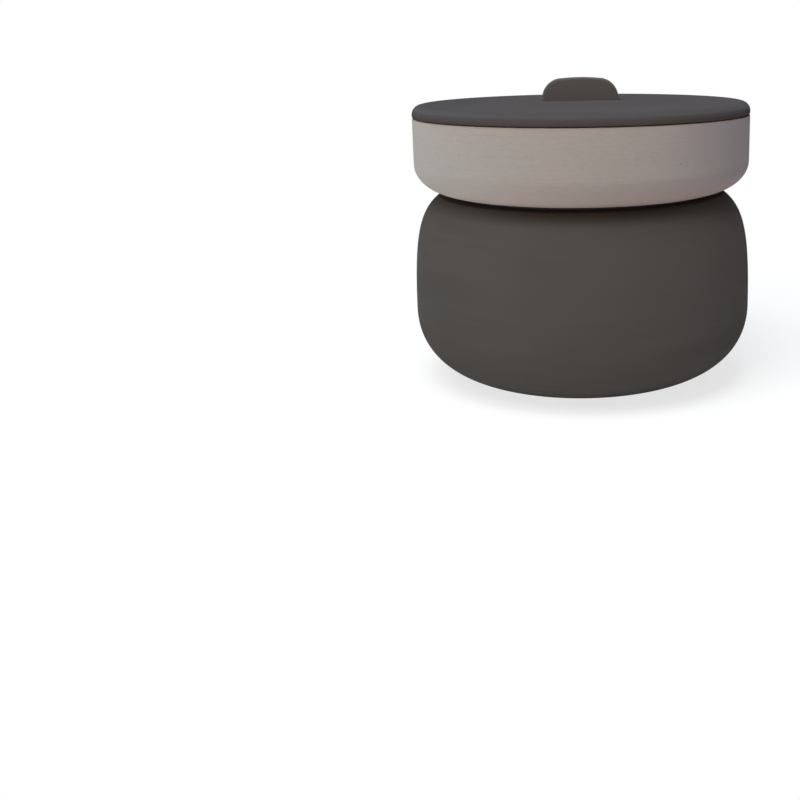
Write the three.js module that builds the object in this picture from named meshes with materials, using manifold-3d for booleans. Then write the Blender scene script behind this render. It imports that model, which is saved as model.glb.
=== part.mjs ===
// A round stoneware wormery: a deep vessel for bedding and worms, a perforated feeding tray that
// sits in its mouth, and a lid with a pinch grip. A perforated dome inside keeps the bedding above
// the liquid that collects on the vessel's floor.
// Millimetres, +Z up. The origin is the middle of the base, on the surface that it stands on.

import * as THREE from "three";
import { mergeVertices } from "three/addons/utils/BufferGeometryUtils.js";
import Module from "manifold-3d";

const wasm = await Module();
wasm.setup();

// Sizes shared by the whole object
const outerRadius = 180; // the tray and the lid reach this radius, and the vessel about does
const seatGap = 0.3; // left between pieces that rest on or hold each other
const cutOverrun = 2; // how far a cutter runs past the face that it opens
const roundSegments = 40; // around each large turned piece
const smallSegments = 12; // around each pad, screw, washer and insert
const holeSegments = 6; // around each drain or worm hole
const curveSteps = 7; // along each large curve of a profile
const insideSteps = 4; // along each large curve inside the vessel and tray
const wallSteps = 9; // up the vessel's wall and over its shoulder
const filletSteps = 2; // along each small rounded edge that shows
const chamferSteps = 1; // hidden edges are broken by a chamfer

// Vessel
const vessel = {
  wall: 9,
  floor: 11,
  bellyProud: 2.7, // how far the widest part stands out past the tray
  baseCurveWidth: 85.7, // the round base, from the belly inwards and down
  baseCurveHeight: 77.5,
  baseReach: 39, // how far the base curve keeps flat on its way out
  bellyDrop: 54, // how far it keeps upright on its way down from the belly
  bellyRise: 81, // how far the wall keeps upright on its way up from the belly
  shoulderInset: 6.7, // the corner that draws the shoulder, in from the belly and below the mouth
  shoulderDrop: 16,
  mouthHeight: 201.5,
  mouthInset: 52, // from the widest part inwards to the mouth
  landWidth: 26, // flat top of the mouth, from its inner edge to the shoulder
  throat: 11, // thickness of the ceramic at the mouth
  mouthEdge: 2, // rounding of the mouth's inner edges
  landEdge: 3, // rounding of the mouth's outer edge
  footRingWidth: 21,
  footRecess: 3.5, // the underside inside the foot ring is raised by this
};

// Foot pads
const pad = {
  count: 4,
  radius: 8,
  proud: 1.5, // how far a pad stands out of its pocket
  pocket: 2.5,
  pocketClearance: 0.4,
};

// Feeding tray
const tray = {
  height: 79.5,
  wall: 8,
  floor: 8,
  cornerWidth: 42, // the rounded lower edge, inwards and up
  cornerHeight: 31.5,
  rimEdge: 1.6,
  spigotWidth: 9, // the ring under the floor that drops into the mouth
  spigotDepth: 9,
  spigotEdge: 1.5,
  holeRadius: 3,
  holeRings: 5, // rings of worm holes round the middle hole
  holesPerRing: 6, // each ring has this many more than the ring inside it
};

// Gasket on the vessel's mouth
const gasket = {
  thickness: 2.4,
  flangeWidth: 8,
  skirtThickness: 1.6,
  skirtDepth: 7,
  clearance: 0.6, // between its skirt and the tray's spigot
  edge: 0.7,
};

// Drain dome
const dome = {
  thickness: 7,
  rise: 33, // from the vessel's floor to its flat top
  slopeWidth: 40, // from the foot inwards to the flat top
  brimClearance: 5, // between the brim and the mouth that it is lifted through
  brimGap: 1.5, // under the brim, where the liquid runs past
  brimEdge: 2,
  footInset: 2, // from where the vessel's floor starts to curve
  footWidth: 8,
  notchCount: 6,
  notchWidth: 16,
  notchHeight: 4,
  knobRadius: 14,
  knobNeckRadius: 8,
  knobNeck: 9,
  knobHeight: 9,
  knobEdge: 3,
  holeRadius: 1.6,
  holeRings: 3,
  holeMargin: 16, // from the knob and from the foot to the nearest ring of holes
  holeSpacing: 24, // along each ring, or a little more
};

// Lid
const lid = {
  airGap: 1, // between the tray's rim and the lid
  edgeHeight: 12.5,
  edgeRound: 9.5,
  lowerEdge: 0.8,
  crown: 2.3, // the top rises by this from its edge to the handle's seat
  plate: 10,
  flangeClearance: 2, // between the locating ring and the tray's wall
  flangeWidth: 8.5,
  flangeDepth: 8,
  flangeEdge: 1.5,
};

const bumper = {
  count: 4,
  radius: 2.6,
  pocket: 1,
  pocketClearance: 0.3,
};

// Handle and what holds it
const handle = {
  length: 84,
  height: 23.5,
  depth: 23,
  footHeight: 3, // from the lid up to where the rounded shoulders start
  footFlare: 1.5, // the foot spreads by this at each end
  shoulderWidth: 18,
  topCrown: 1, // the top edge swells by this at its middle
  edgeRound: 2.5,
  seatMargin: 5, // flat stretch of lid beyond the handle's ends
};

const screw = {
  spacing: 46,
  shankRadius: 2.5,
  headRadius: 5,
  headHeight: 3.2,
  headEdge: 1.2,
  socketRadius: 1.7,
  socketDepth: 1.8,
  grip: 8, // length of shank inside the insert
  holeClearance: 0.6,
};

const washer = { radius: 7, thickness: 1.5 };

const insert = {
  wall: 1.3,
  length: 11,
  pocketClearance: 0.3,
  endRoom: 1, // left in the handle above the insert
};

// Heights and radii that follow from the sizes above
const bellyRadius = outerRadius + vessel.bellyProud;
const bellyHeight = pad.proud + vessel.baseCurveHeight;
const baseFlatRadius = bellyRadius - vessel.baseCurveWidth;
const vesselFloorTop = pad.proud + vessel.floor;
const mouthRadius = outerRadius - vessel.mouthInset;
const trayBottom = vessel.mouthHeight + gasket.thickness + 2 * seatGap;
const trayRim = trayBottom + tray.height;
const trayInnerRadius = outerRadius - tray.wall;
const gasketSkirtOuter = mouthRadius - seatGap;
const spigotRadius = gasketSkirtOuter - gasket.skirtThickness - gasket.clearance;
const lidBottom = trayRim + lid.airGap;
const lidEdgeTop = lidBottom + lid.edgeHeight;
const lidTop = lidEdgeTop + lid.crown;
const lidPlateBottom = lidTop - lid.plate;
const flangeRadius = trayInnerRadius - lid.flangeClearance;
const handleBottom = lidTop + seatGap;
const handleSeatRadius = handle.length / 2 + handle.seatMargin;
const domeBottom = vesselFloorTop + seatGap;
const domeTop = domeBottom + dome.rise;
const domeFootRadius = baseFlatRadius - dome.footInset;
const domeFootInner = domeFootRadius - dome.footWidth;
const domeTopRadius = domeFootRadius - dome.slopeWidth;
const domeBrimRadius = mouthRadius - dome.brimClearance;
const insertBore = screw.shankRadius + seatGap;
const insertRadius = insertBore + insert.wall;
const screwPlaces = [-screw.spacing / 2, screw.spacing / 2];
const TURN = 2 * Math.PI;

// Helpers
const point = (x, y, round = 0, steps = filletSteps) => ({ x, y, round, steps });
const chamfered = (x, y, round) => point(x, y, round, chamferSteps);

// Evenly spaced values from one number to another, both included.
const stepsBetween = (from, to, steps) =>
  Array.from({ length: steps + 1 }, (_, i) => THREE.MathUtils.lerp(from, to, i / steps));

// Part of an ellipse about (x, y), between two angles in radians, as outline points.
function ellipse(x, y, width, height, from, to, steps = curveSteps) {
  const clockwise = to < from;
  const curve = new THREE.EllipseCurve(x, y, width, height, from, to, clockwise);
  return curve.getPoints(steps).map((p) => point(p.x, p.y));
}

// A curve from the first corner of an outline to the last, drawn by the two between them.
function drawn(corners, steps = curveSteps) {
  const curve = new THREE.CubicBezierCurve(...corners.map(([x, y]) => new THREE.Vector2(x, y)));
  return curve.getPoints(steps).map((p) => point(p.x, p.y));
}

// Rounds each corner of an outline that states a rounding, and returns plain points.
function rounded(outline) {
  return outline.flatMap((corner, i) => {
    const here = new THREE.Vector2(corner.x, corner.y);
    if (!corner.round) return [here];
    const last = outline[(i + outline.length - 1) % outline.length];
    const next = outline[(i + 1) % outline.length];
    const back = new THREE.Vector2(last.x, last.y).sub(here);
    const ahead = new THREE.Vector2(next.x, next.y).sub(here);
    const half = back.angleTo(ahead) / 2;
    const reach = Math.min(corner.round / Math.tan(half), back.length() / 2, ahead.length() / 2);
    const start = here.clone().addScaledVector(back.normalize(), reach);
    const end = here.clone().addScaledVector(ahead.normalize(), reach);
    return new THREE.QuadraticBezierCurve(start, here, end).getPoints(corner.steps);
  });
}

// A geometry with shared corners as a solid that can be cut and joined.
function toSolid(geometry) {
  const bare = geometry.clone();
  bare.deleteAttribute("normal");
  bare.deleteAttribute("uv");
  const merged = mergeVertices(bare);
  const solid = new wasm.Manifold(
    new wasm.Mesh({
      numProp: 3,
      vertProperties: merged.attributes.position.array,
      triVerts: new Uint32Array(merged.index.array),
    }),
  );
  return solid;
}

function toGeometry(solid) {
  const { vertProperties, triVerts } = solid.getMesh();
  const geometry = new THREE.BufferGeometry();
  geometry.setAttribute("position", new THREE.BufferAttribute(vertProperties, 3));
  geometry.setIndex(new THREE.BufferAttribute(triVerts, 1));
  geometry.computeVertexNormals();
  return geometry;
}

// Turns an outline of (radius, height) points round the Z axis. The outline runs anticlockwise
// in the half plane, from the axis along the underside and back along the top.
function turned(outline, segments = roundSegments) {
  const profile = rounded(outline);
  const onAxis = profile[0].x === 0;
  if (!onAxis) profile.push(profile[0].clone());
  return new THREE.LatheGeometry(profile, segments).rotateX(Math.PI / 2);
}

// A cylinder along Z from one height to another, cut or joined as a solid.
function rod(radius, from, to, x = 0, y = 0, segments = roundSegments) {
  const geometry = new THREE.CylinderGeometry(radius, radius, to - from, segments);
  geometry.rotateX(Math.PI / 2).translate(x, y, (from + to) / 2);
  return toSolid(geometry);
}

// Places spaced evenly round the Z axis, as {x, y, angle}.
function around(count, radius, startAngle = 0) {
  return Array.from({ length: count }, (_, i) => {
    const angle = startAngle + (i * TURN) / count;
    return { x: radius * Math.cos(angle), y: radius * Math.sin(angle), angle };
  });
}

const subtractAll = (solid, cutters) => cutters.reduce((left, cutter) => left.subtract(cutter), solid);

const clay = (color, roughness) => new THREE.MeshStandardMaterial({ color, roughness, metalness: 0 });
const darkClay = () => clay(0x4a4643, 0.8);
const paleClay = () => clay(0xa09691, 0.9);
const softRubber = () => clay(0x2c2b2a, 0.9);
const metal = (color) => new THREE.MeshStandardMaterial({ color, roughness: 0.35, metalness: 1 });

const wormery = new THREE.Group();

function addPiece(name, geometry, material) {
  const piece = new THREE.Mesh(geometry, material);
  piece.name = name;
  wormery.add(piece);
}

// Vessel
// Outside, one curve runs from the foot up to the belly and one from there over the shoulder to the
// mouth's flat land.
function vesselOutside() {
  const landRadius = mouthRadius + vessel.landWidth;
  const base = drawn([
    [baseFlatRadius, pad.proud],
    [baseFlatRadius + vessel.baseReach, pad.proud],
    [bellyRadius, bellyHeight - vessel.bellyDrop],
    [bellyRadius, bellyHeight],
  ]);
  const wall = drawn(
    [
      [bellyRadius, bellyHeight],
      [bellyRadius, bellyHeight + vessel.bellyRise],
      [bellyRadius - vessel.shoulderInset, vessel.mouthHeight - vessel.shoulderDrop],
      [landRadius, vessel.mouthHeight],
    ],
    wallSteps,
  );
  wall.at(-1).round = vessel.landEdge;
  return [...base, ...wall.slice(1)];
}

// The inner floor curves up into the wall about the same centre as the outside of the base.
const innerBaseWidth = vessel.baseCurveWidth - vessel.wall;
const innerBaseHeight = bellyHeight - vesselFloorTop;

// Inside, the wall ends at the foot of the throat, which leaves a thick mouth.
function vesselInside() {
  const wallRadius = bellyRadius - vessel.wall;
  const throatFoot = vessel.mouthHeight - vessel.throat;
  const wall = drawn(
    [
      [mouthRadius, throatFoot],
      [wallRadius, throatFoot],
      [wallRadius, bellyHeight + vessel.bellyRise - vessel.wall],
      [wallRadius, bellyHeight],
    ],
    wallSteps,
  );
  const base = ellipse(
    baseFlatRadius,
    bellyHeight,
    innerBaseWidth,
    innerBaseHeight,
    0,
    -TURN / 4,
    insideSteps,
  );
  return [...wall, ...base.slice(1), point(0, vesselFloorTop)];
}

function vesselOutline() {
  const recessTop = pad.proud + vessel.footRecess;
  const footInner = baseFlatRadius - vessel.footRingWidth;
  return [
    point(0, recessTop),
    point(footInner - vessel.footRecess, recessTop),
    chamfered(footInner, pad.proud, vessel.footRecess / 2),
    ...vesselOutside(),
    point(mouthRadius, vessel.mouthHeight, vessel.mouthEdge),
    ...vesselInside(),
  ];
}

const padPlaces = around(pad.count, baseFlatRadius - vessel.footRingWidth / 2, TURN / 8);

function addVessel() {
  const pocketRadius = pad.radius + pad.pocketClearance;
  const pockets = padPlaces.map(({ x, y }) =>
    rod(pocketRadius, pad.proud - cutOverrun, pad.proud + pad.pocket, x, y, smallSegments),
  );
  const body = subtractAll(toSolid(turned(vesselOutline())), pockets);
  addPiece("base_vessel", toGeometry(body), darkClay());
}

function addFootPads() {
  const padTop = pad.proud + pad.pocket - seatGap;
  padPlaces.forEach(({ x, y }, i) => {
    const geometry = new THREE.CylinderGeometry(pad.radius, pad.radius, padTop, smallSegments);
    geometry.rotateX(Math.PI / 2).translate(x, y, padTop / 2);
    addPiece(`foot_pad_${i + 1}`, geometry, softRubber());
  });
}

// Gasket: a flat ring on the mouth, with a skirt that hangs inside it
function addGasket() {
  const bottom = vessel.mouthHeight + seatGap;
  const top = bottom + gasket.thickness;
  const skirtInner = gasketSkirtOuter - gasket.skirtThickness;
  const flangeOuter = mouthRadius + vessel.mouthEdge + gasket.flangeWidth;
  const outline = [
    point(skirtInner, top - gasket.skirtDepth),
    point(gasketSkirtOuter, top - gasket.skirtDepth),
    point(gasketSkirtOuter, bottom),
    point(flangeOuter, bottom),
    chamfered(flangeOuter, top, gasket.edge),
    point(skirtInner, top),
  ];
  addPiece("mouth_gasket", turned(outline), softRubber());
}

// Drain dome: a perforated false floor that stands on the vessel's floor
// Height of the dome's upper face at a radius: flat at the top and falling smoothly to the brim.
const brimTop = domeBottom + dome.brimGap + dome.thickness;
function domeFace(radius) {
  const share = THREE.MathUtils.smoothstep(radius, domeTopRadius, domeFootRadius);
  return THREE.MathUtils.lerp(domeTop, brimTop, share);
}

// The vessel's inner floor at a radius: flat, then curving up into the wall.
function vesselFloorHeight(radius) {
  const share = Math.max(radius - baseFlatRadius, 0) / innerBaseWidth;
  return bellyHeight - innerBaseHeight * Math.sqrt(1 - share ** 2);
}

function domeOutline() {
  const brimBottom = Math.max(domeBottom, vesselFloorHeight(domeBrimRadius)) + dome.brimGap;
  const knobTop = domeTop + dome.knobNeck + dome.knobHeight;
  return [
    point(0, domeTop - dome.thickness),
    ...stepsBetween(domeTopRadius, domeFootInner, insideSteps).map((r) =>
      point(r, domeFace(r) - dome.thickness),
    ),
    point(domeFootInner, domeBottom),
    point(domeFootRadius, domeBottom),
    point(domeFootRadius, domeBottom + dome.brimGap),
    chamfered(domeBrimRadius, brimBottom, dome.brimEdge),
    point(domeBrimRadius, brimBottom + dome.thickness, dome.brimEdge),
    ...stepsBetween(domeFootRadius, domeTopRadius, insideSteps).map((r) => point(r, domeFace(r))),
    chamfered(dome.knobNeckRadius, domeTop, dome.knobEdge),
    point(dome.knobNeckRadius, domeTop + dome.knobNeck),
    point(dome.knobRadius, domeTop + dome.knobNeck),
    point(dome.knobRadius, knobTop, dome.knobEdge),
    point(0, knobTop),
  ];
}

function addDrainDome() {
  const firstRing = dome.knobRadius + dome.holeMargin;
  const lastRing = domeFootInner - dome.holeMargin;
  const rings = stepsBetween(firstRing, lastRing, dome.holeRings - 1);
  const holes = rings
    .flatMap((radius) => around(Math.floor((TURN * radius) / dome.holeSpacing), radius))
    .map(({ x, y }) => rod(dome.holeRadius, domeBottom, domeTop + cutOverrun, x, y, holeSegments));
  const notches = around(dome.notchCount, domeFootRadius - dome.footWidth / 2).map(({ x, y, angle }) => {
    const length = dome.footWidth + 2 * cutOverrun;
    const height = dome.notchHeight + cutOverrun;
    const box = new THREE.BoxGeometry(length, dome.notchWidth, height);
    return toSolid(box.rotateZ(angle).translate(x, y, domeBottom + dome.notchHeight - height / 2));
  });
  const shell = subtractAll(toSolid(turned(domeOutline())), [...holes, ...notches]);
  addPiece("drain_dome", toGeometry(shell), darkClay());
}

// Feeding tray
function trayOutline() {
  const bottomFlat = outerRadius - tray.cornerWidth;
  const cornerTop = trayBottom + tray.cornerHeight;
  const floorTop = trayBottom + tray.floor;
  const spigotBottom = trayBottom - tray.spigotDepth;
  const spigotInner = spigotRadius - tray.spigotWidth;
  return [
    point(0, trayBottom),
    point(spigotInner, trayBottom),
    chamfered(spigotInner, spigotBottom, tray.spigotEdge),
    chamfered(spigotRadius, spigotBottom, tray.spigotEdge),
    point(spigotRadius, trayBottom),
    ...ellipse(bottomFlat, cornerTop, tray.cornerWidth, tray.cornerHeight, -TURN / 4, 0),
    point(outerRadius, trayRim, tray.rimEdge),
    point(trayInnerRadius, trayRim, tray.rimEdge),
    ...ellipse(
      bottomFlat,
      cornerTop,
      tray.cornerWidth - tray.wall,
      cornerTop - floorTop,
      0,
      -TURN / 4,
      insideSteps,
    ),
    point(0, floorTop),
  ];
}

// Worm holes in rings about a middle hole, each ring with six more than the one inside it.
function wormHoles() {
  const pitch = (spigotRadius - tray.spigotWidth - tray.holeRadius) / (tray.holeRings + 1 / 2);
  const rings = Array.from({ length: tray.holeRings }, (_, i) => i + 1);
  const places = rings.flatMap((ring) => around(ring * tray.holesPerRing, ring * pitch));
  return [{ x: 0, y: 0 }, ...places].map(({ x, y }) =>
    rod(
      tray.holeRadius,
      trayBottom - cutOverrun,
      trayBottom + tray.floor + cutOverrun,
      x,
      y,
      holeSegments,
    ),
  );
}

function addTray() {
  const shell = subtractAll(toSolid(turned(trayOutline())), wormHoles());
  addPiece("feeding_tray", toGeometry(shell), paleClay());
}

// Lid
// The top is flat under the handle and falls gently from there to the rounded edge.
function crownPoints() {
  const edge = outerRadius - lid.edgeRound;
  return stepsBetween(0, 1, insideSteps)
    .slice(1)
    .map((share) => {
      const radius = THREE.MathUtils.lerp(edge, handleSeatRadius, share);
      return point(radius, lidEdgeTop + lid.crown * Math.sin((share * TURN) / 4));
    });
}

function lidOutline() {
  const flangeInner = flangeRadius - lid.flangeWidth;
  const flangeBottom = lidBottom - lid.flangeDepth;
  const edgeCentre = lidEdgeTop - lid.edgeRound;
  return [
    point(0, lidPlateBottom),
    chamfered(flangeInner, lidPlateBottom, lid.flangeEdge),
    chamfered(flangeInner, flangeBottom, lid.flangeEdge),
    chamfered(flangeRadius, flangeBottom, lid.flangeEdge),
    point(flangeRadius, lidBottom),
    point(outerRadius, lidBottom, lid.lowerEdge),
    ...ellipse(outerRadius - lid.edgeRound, edgeCentre, lid.edgeRound, lid.edgeRound, 0, TURN / 4),
    ...crownPoints(),
    point(0, lidTop),
  ];
}

const bumperPlaces = around(bumper.count, outerRadius - tray.wall / 2, TURN / 8);
const screwHoleRadius = screw.shankRadius + screw.holeClearance;

function addLid() {
  const pocketRadius = bumper.radius + bumper.pocketClearance;
  const pockets = bumperPlaces.map(({ x, y }) =>
    rod(pocketRadius, lidBottom - cutOverrun, lidBottom + bumper.pocket, x, y, smallSegments),
  );
  const screwHoles = screwPlaces.map((x) =>
    rod(screwHoleRadius, lidPlateBottom - cutOverrun, lidTop + cutOverrun, x, 0, smallSegments),
  );
  const plate = subtractAll(toSolid(turned(lidOutline())), [...pockets, ...screwHoles]);
  addPiece("lid_plate", toGeometry(plate), darkClay());
}

function addBumpers() {
  const bottom = trayRim + seatGap;
  const top = lidBottom + bumper.pocket - seatGap;
  bumperPlaces.forEach(({ x, y }, i) => {
    const geometry = new THREE.CylinderGeometry(bumper.radius, bumper.radius, top - bottom, smallSegments);
    geometry.rotateX(Math.PI / 2).translate(x, y, (bottom + top) / 2);
    addPiece(`lid_bumper_${i + 1}`, geometry, softRubber());
  });
}

// Handle: a loaf-shaped tab with a slightly spread foot and well rounded shoulders
function handleOutline() {
  const half = handle.length / 2 - handle.edgeRound;
  const flank = half - handle.footFlare;
  const top = handle.height - handle.edgeRound;
  const width = handle.shoulderWidth;
  const height = top - handle.topCrown - handle.footHeight;
  const right = ellipse(flank - width, handle.footHeight, width, height, 0, TURN / 4);
  const left = ellipse(width - flank, handle.footHeight, width, height, TURN / 4, TURN / 2);
  return rounded([point(half, 0), ...right, point(0, top, handle.length), ...left, point(-half, 0)]);
}

function addHandle() {
  const straight = handle.depth - 2 * handle.edgeRound;
  const geometry = new THREE.ExtrudeGeometry(new THREE.Shape(handleOutline()), {
    depth: straight,
    bevelEnabled: true,
    bevelSize: handle.edgeRound,
    bevelThickness: handle.edgeRound,
    bevelSegments: filletSteps,
    steps: 1,
  });
  geometry.rotateX(Math.PI / 2).translate(0, straight / 2, handleBottom);
  const block = toSolid(geometry);
  const foot = new THREE.BoxGeometry(handle.length * 2, handle.depth * 2, handle.height);
  const below = toSolid(foot.translate(0, 0, handleBottom - handle.height / 2));
  const pocketTop = handleBottom + insert.length + insert.endRoom;
  const pockets = screwPlaces.map((x) =>
    rod(
      insertRadius + insert.pocketClearance,
      handleBottom - cutOverrun,
      pocketTop,
      x,
      0,
      smallSegments,
    ),
  );
  addPiece("lid_handle", toGeometry(subtractAll(block, [below, ...pockets])), darkClay());
}

// A short tube about the Z axis, for the inserts and washers.
function tube(inner, outer, bottom, top, x) {
  const outline = [point(inner, bottom), point(outer, bottom), point(outer, top), point(inner, top)];
  return turned(outline, smallSegments).translate(x, 0, 0);
}

function screwOutline() {
  const headTop = lidPlateBottom - 2 * seatGap - washer.thickness;
  const headBottom = headTop - screw.headHeight;
  const tip = handleBottom + screw.grip;
  return [
    point(0, headBottom + screw.socketDepth),
    point(screw.socketRadius, headBottom + screw.socketDepth),
    point(screw.socketRadius, headBottom),
    point(screw.headRadius, headBottom, screw.headEdge),
    point(screw.headRadius, headTop),
    point(screw.shankRadius, headTop),
    point(screw.shankRadius, tip - screw.shankRadius / 2),
    point(screw.shankRadius / 2, tip),
    point(0, tip),
  ];
}

function addFasteners() {
  const washerTop = lidPlateBottom - seatGap;
  screwPlaces.forEach((x, i) => {
    const number = i + 1;
    const sleeve = tube(insertBore, insertRadius, handleBottom + seatGap, handleBottom + insert.length, x);
    addPiece(`handle_insert_${number}`, sleeve, metal(0xb08d57));
    const ring = tube(screwHoleRadius, washer.radius, washerTop - washer.thickness, washerTop, x);
    addPiece(`handle_washer_${number}`, ring, softRubber());
    const bolt = turned(screwOutline(), smallSegments).translate(x, 0, 0);
    addPiece(`handle_screw_${number}`, bolt, metal(0xb4b4b2));
  });
}

addVessel();
addFootPads();
addGasket();
addDrainDome();
addTray();
addLid();
addBumpers();
addHandle();
addFasteners();

export default wormery;
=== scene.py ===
# A round stoneware wormery. The ceramic is turned again at a finer step than the frame's solids and
# pierced with softened holes, the small parts are made round, and every surface has a procedural
# finish. Metres, +Z up.

import math
from dataclasses import dataclass

import bmesh
import bpy
from mathutils import Matrix, Vector


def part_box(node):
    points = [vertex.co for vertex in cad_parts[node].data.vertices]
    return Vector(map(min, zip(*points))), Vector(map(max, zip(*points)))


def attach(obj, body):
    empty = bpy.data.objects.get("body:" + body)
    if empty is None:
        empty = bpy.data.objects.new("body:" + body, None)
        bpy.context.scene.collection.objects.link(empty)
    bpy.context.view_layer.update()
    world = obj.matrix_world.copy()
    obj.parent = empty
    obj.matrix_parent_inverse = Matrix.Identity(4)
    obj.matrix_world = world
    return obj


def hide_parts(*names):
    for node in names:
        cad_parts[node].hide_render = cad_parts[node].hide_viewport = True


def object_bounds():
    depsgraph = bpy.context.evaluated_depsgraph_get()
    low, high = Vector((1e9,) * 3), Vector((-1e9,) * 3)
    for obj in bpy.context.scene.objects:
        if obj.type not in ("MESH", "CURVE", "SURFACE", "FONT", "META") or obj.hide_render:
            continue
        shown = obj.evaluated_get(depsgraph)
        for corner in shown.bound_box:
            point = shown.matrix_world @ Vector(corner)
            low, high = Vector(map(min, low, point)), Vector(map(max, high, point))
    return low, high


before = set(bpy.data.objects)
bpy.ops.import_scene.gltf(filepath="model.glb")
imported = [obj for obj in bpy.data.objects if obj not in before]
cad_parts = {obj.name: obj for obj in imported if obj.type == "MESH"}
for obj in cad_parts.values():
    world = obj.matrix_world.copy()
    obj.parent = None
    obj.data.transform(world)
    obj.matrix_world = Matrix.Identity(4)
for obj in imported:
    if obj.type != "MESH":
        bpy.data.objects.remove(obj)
cad_low, cad_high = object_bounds()

MM = 0.001
TURN = 2 * math.pi
SEAT_GAP = 0.3 * MM  # left between pieces that rest on each other

# How finely the surfaces are made
ROUND_SEGMENTS = 256
SMALL_SEGMENTS = 64
HOLE_SEGMENTS = 32
CURVE_STEPS = 36
INSIDE_STEPS = 18
FILLET_STEPS = 8
HOLE_RIM_STEPS = 4
SHARP_ANGLE = math.radians(34)
WELD_DISTANCE = 0.001 * MM
CUT_BEYOND = 2 * MM  # how far a cutter runs past what it cuts

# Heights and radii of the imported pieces
vessel_low, vessel_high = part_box("base_vessel")
tray_low, tray_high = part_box("feeding_tray")
lid_low, lid_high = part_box("lid_plate")
handle_low, handle_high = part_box("lid_handle")
gasket_low, gasket_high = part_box("mouth_gasket")
dome_low, dome_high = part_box("drain_dome")
outer_radius = tray_high.x
mouth_height = vessel_high.z
pad_proud = vessel_low.z

# Vessel
VESSEL_WALL = 9 * MM
VESSEL_FLOOR = 11 * MM
BELLY_PROUD = 2.7 * MM
BASE_CURVE_WIDTH = 85.7 * MM
BASE_CURVE_HEIGHT = 77.5 * MM
BASE_REACH = 39 * MM
BELLY_DROP = 54 * MM
BELLY_RISE = 81 * MM
SHOULDER_INSET = 6.7 * MM
SHOULDER_DROP = 16 * MM
MOUTH_INSET = 52 * MM
LAND_WIDTH = 26 * MM
THROAT = 11 * MM
MOUTH_EDGE = 2 * MM
LAND_EDGE = 3 * MM
FOOT_RING_WIDTH = 21 * MM
FOOT_RECESS = 3.5 * MM

# Feeding tray
TRAY_WALL = 8 * MM
TRAY_FLOOR = 8 * MM
TRAY_CORNER_WIDTH = 42 * MM
TRAY_CORNER_HEIGHT = 31.5 * MM
TRAY_RIM_EDGE = 1.6 * MM
SPIGOT_WIDTH = 9 * MM
SPIGOT_DEPTH = 9 * MM
SPIGOT_EDGE = 1.5 * MM
WORM_HOLE_RADIUS = 3 * MM
WORM_HOLE_RIM = 0.6 * MM
WORM_HOLE_RINGS = 5
WORM_HOLES_PER_RING = 6

# Gasket
GASKET_THICKNESS = 2.4 * MM
GASKET_SKIRT = 1.6 * MM
GASKET_CLEARANCE = 0.6 * MM
GASKET_EDGE = 0.7 * MM

# Drain dome
DOME_THICKNESS = 7 * MM
DOME_SLOPE_WIDTH = 40 * MM
DOME_FOOT_INSET = 2 * MM
DOME_FOOT_WIDTH = 8 * MM
BRIM_GAP = 1.5 * MM
BRIM_EDGE = 2 * MM
NOTCH_COUNT = 6
NOTCH_WIDTH = 16 * MM
NOTCH_HEIGHT = 4 * MM
NOTCH_EDGE = 2 * MM
KNOB_RADIUS = 14 * MM
KNOB_NECK_RADIUS = 8 * MM
KNOB_NECK = 9 * MM
KNOB_HEIGHT = 9 * MM
KNOB_EDGE = 3 * MM
DRAIN_HOLE_RADIUS = 1.6 * MM
DRAIN_HOLE_RINGS = 3
DRAIN_HOLE_MARGIN = 16 * MM
DRAIN_HOLE_SPACING = 24 * MM

# Lid
LID_AIR_GAP = 1 * MM
LID_EDGE_ROUND = 9.5 * MM
LID_LOWER_EDGE = 2.4 * MM
LID_CROWN = 2.3 * MM
LID_PLATE = 10 * MM
FLANGE_CLEARANCE = 2 * MM
FLANGE_WIDTH = 8.5 * MM
FLANGE_EDGE = 1.5 * MM
HANDLE_SEAT_MARGIN = 5 * MM
BUMPER_COUNT = 4
BUMPER_RADIUS = 2.6 * MM
BUMPER_EDGE = 0.3 * MM
BUMPER_POCKET = 1 * MM
BUMPER_CLEARANCE = 0.3 * MM

# Handle and its fasteners
HANDLE_FOOT_HEIGHT = 3 * MM
HANDLE_FOOT_FLARE = 1.5 * MM
HANDLE_SHOULDER_WIDTH = 18 * MM
HANDLE_CROWN = 1 * MM
HANDLE_EDGE = 2.5 * MM
SCREW_SPACING = 46 * MM
SCREW_SHANK_RADIUS = 2.5 * MM
SCREW_HEAD_RADIUS = 5 * MM
SCREW_HEAD_HEIGHT = 3.2 * MM
SCREW_HEAD_EDGE = 1.2 * MM
SCREW_NECK_EDGE = 0.2 * MM
SCREW_SOCKET_SIDES = 6
SCREW_SOCKET_RADIUS = 1.7 * MM
SCREW_SOCKET_DEPTH = 1.8 * MM
SCREW_GRIP = 8 * MM
SCREW_CLEARANCE = 0.6 * MM
WASHER_RADIUS = 7 * MM
WASHER_THICKNESS = 1.5 * MM
WASHER_EDGE = 0.3 * MM
WASHER_LOWER_EDGE = 0.5 * MM
INSERT_WALL = 1.3 * MM
INSERT_LENGTH = 11 * MM
INSERT_CLEARANCE = 0.3 * MM
INSERT_END_ROOM = 1 * MM
INSERT_EDGE = 0.3 * MM
KNURL_BANDS = 3
KNURL_DEPTH = 0.35 * MM

# Foot pads
PAD_COUNT = 4
PAD_RADIUS = 8 * MM
PAD_POCKET = 2.5 * MM
PAD_CLEARANCE = 0.4 * MM
PAD_EDGE = 0.6 * MM

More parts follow.
